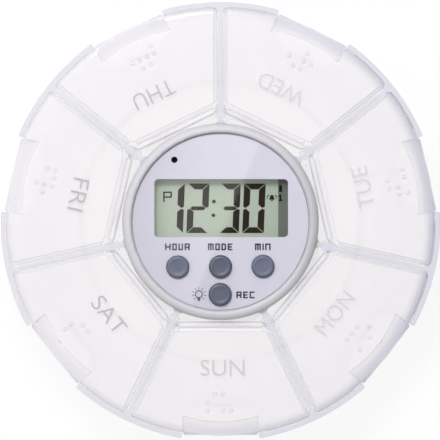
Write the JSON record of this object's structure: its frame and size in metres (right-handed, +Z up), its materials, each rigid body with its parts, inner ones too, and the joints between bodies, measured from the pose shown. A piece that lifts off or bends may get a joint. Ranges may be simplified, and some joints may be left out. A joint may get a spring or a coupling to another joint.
{
  "type": "weekly pill organiser with alarm timer",
  "caption": "Round weekly pill organiser: translucent tray with hinged wedge lids around a lift-out alarm timer that has a liquid-crystal display and push buttons.",
  "frame": {"origin": "on the plane the tray stands on, on the axis of the tray's hub", "axes": "+Z up, out of the display; -Y toward Sunday's compartment, which is the side the display is read from; +X to the reader's right"},
  "size_m": [0.13, 0.1289, 0.027],
  "materials": {
    "tray_plastic": "translucent moulded polypropylene",
    "lid_plastic": "translucent moulded polypropylene",
    "case_plastic": "silver-grey satin moulding",
    "face_print": "printed lavender-silver dial sheet",
    "lens_plastic": "clear polished acrylic",
    "white_plastic": "white moulding",
    "display_glass": "grey-green liquid-crystal cell",
    "light_guide": "milky light guide",
    "soft_rubber": "black soft rubber",
    "board": "green solder resist",
    "switch_plastic": "black switch bodies",
    "black_epoxy": "epoxy drop over the chip",
    "plated_steel": "plated can",
    "black_sleeve": "shrink sleeve",
    "speaker_metal": "black coated frame",
    "wire_insulation": "red insulation",
    "cell_wrap": "plain printed wrap",
    "nickel_plate": "nickel-plated spring steel",
    "screw_steel": "zinc-plated",
    "button_rubber": "slate-blue moulded silicone"
  },
  "bodies": {
    "tray": {"tray_floor": "tray_plastic", "tray_hub": "tray_plastic", "tray_walls": "tray_plastic", "tray_dividers": "tray_plastic"},
    "lid_sun": {"lid_sun": "lid_plastic"},
    "lid_mon": {"lid_mon": "lid_plastic"},
    "lid_tue": {"lid_tue": "lid_plastic"},
    "lid_wed": {"lid_wed": "lid_plastic"},
    "lid_thu": {"lid_thu": "lid_plastic"},
    "lid_fri": {"lid_fri": "lid_plastic"},
    "lid_sat": {"lid_sat": "lid_plastic"},
    "timer": {"case_front": "case_plastic", "case_back": "case_plastic", "face_label": "face_print", "face_lens": "lens_plastic", "display_frame": "white_plastic", "display_glass": "display_glass", "display_backlight": "light_guide", "contact_strips": "soft_rubber", "circuit_board": "board", "switches": "switch_plastic", "main_chip": "black_epoxy", "crystal": "plated_steel", "capacitor": "black_sleeve", "microphone": "plated_steel", "microphone_boot": "soft_rubber", "speaker": "speaker_metal", "leads": "wire_insulation", "cell_rear": "cell_wrap", "cell_front": "cell_wrap", "contact_plates": "nickel_plate", "contact_springs": "nickel_plate", "board_screws": "screw_steel", "case_screws": "screw_steel"},
    "battery_door": {"battery_door": "case_plastic"},
    "button_hour": {"button_hour": "button_rubber"},
    "button_mode": {"button_mode": "button_rubber"},
    "button_minute": {"button_minute": "button_rubber"},
    "button_record": {"button_record": "button_rubber"}
  },
  "joints": [
    {"name": "lid_sun_hinge", "type": "hinge", "parent": "tray", "child": "lid_sun", "pos_m": [0, -0.0304, 0.023], "axis": [-1, 0, 0], "range_deg": [0, 85]},
    {"name": "lid_mon_hinge", "type": "hinge", "parent": "tray", "child": "lid_mon", "pos_m": [0.02377, -0.01895, 0.023], "axis": [0.6235, 0.7818, 0], "range_deg": [-85, 0]},
    {"name": "lid_tue_hinge", "type": "hinge", "parent": "tray", "child": "lid_tue", "pos_m": [0.02964, 0.00676, 0.023], "axis": [0.2225, -0.9749, 0], "range_deg": [0, 85]},
    {"name": "lid_wed_hinge", "type": "hinge", "parent": "tray", "child": "lid_wed", "pos_m": [0.01319, 0.02739, 0.023], "axis": [-0.901, 0.4339, 0], "range_deg": [-85, 0]},
    {"name": "lid_thu_hinge", "type": "hinge", "parent": "tray", "child": "lid_thu", "pos_m": [-0.01319, 0.02739, 0.023], "axis": [0.901, 0.4339, 0], "range_deg": [0, 85]},
    {"name": "lid_fri_hinge", "type": "hinge", "parent": "tray", "child": "lid_fri", "pos_m": [-0.02964, 0.00676, 0.023], "axis": [-0.2225, -0.9749, 0], "range_deg": [-85, 0]},
    {"name": "lid_sat_hinge", "type": "hinge", "parent": "tray", "child": "lid_sat", "pos_m": [-0.02377, -0.01895, 0.023], "axis": [-0.6235, 0.7818, 0], "range_deg": [0, 57]},
    {"name": "timer_lift", "type": "slide", "parent": "tray", "child": "timer", "axis": [0, 0, 1], "range_m": [0, 0.025]},
    {"name": "battery_door_release", "type": "slide", "parent": "timer", "child": "battery_door", "axis": [0, 0, -1], "range_m": [0, 0.012]},
    {"name": "button_hour_press", "type": "slide", "parent": "timer", "child": "button_hour", "axis": [0, 0, -1], "range_m": [0, 0.0006], "stiffness_N_per_m": 400, "springref_m": -0.001},
    {"name": "button_mode_press", "type": "slide", "parent": "timer", "child": "button_mode", "axis": [0, 0, -1], "range_m": [0, 0.0006], "stiffness_N_per_m": 400, "springref_m": -0.001},
    {"name": "button_minute_press", "type": "slide", "parent": "timer", "child": "button_minute", "axis": [0, 0, -1], "range_m": [0, 0.0006], "stiffness_N_per_m": 400, "springref_m": -0.001},
    {"name": "button_record_press", "type": "slide", "parent": "timer", "child": "button_record", "axis": [0, 0, -1], "range_m": [0, 0.0006], "stiffness_N_per_m": 400, "springref_m": -0.001}
  ]
}
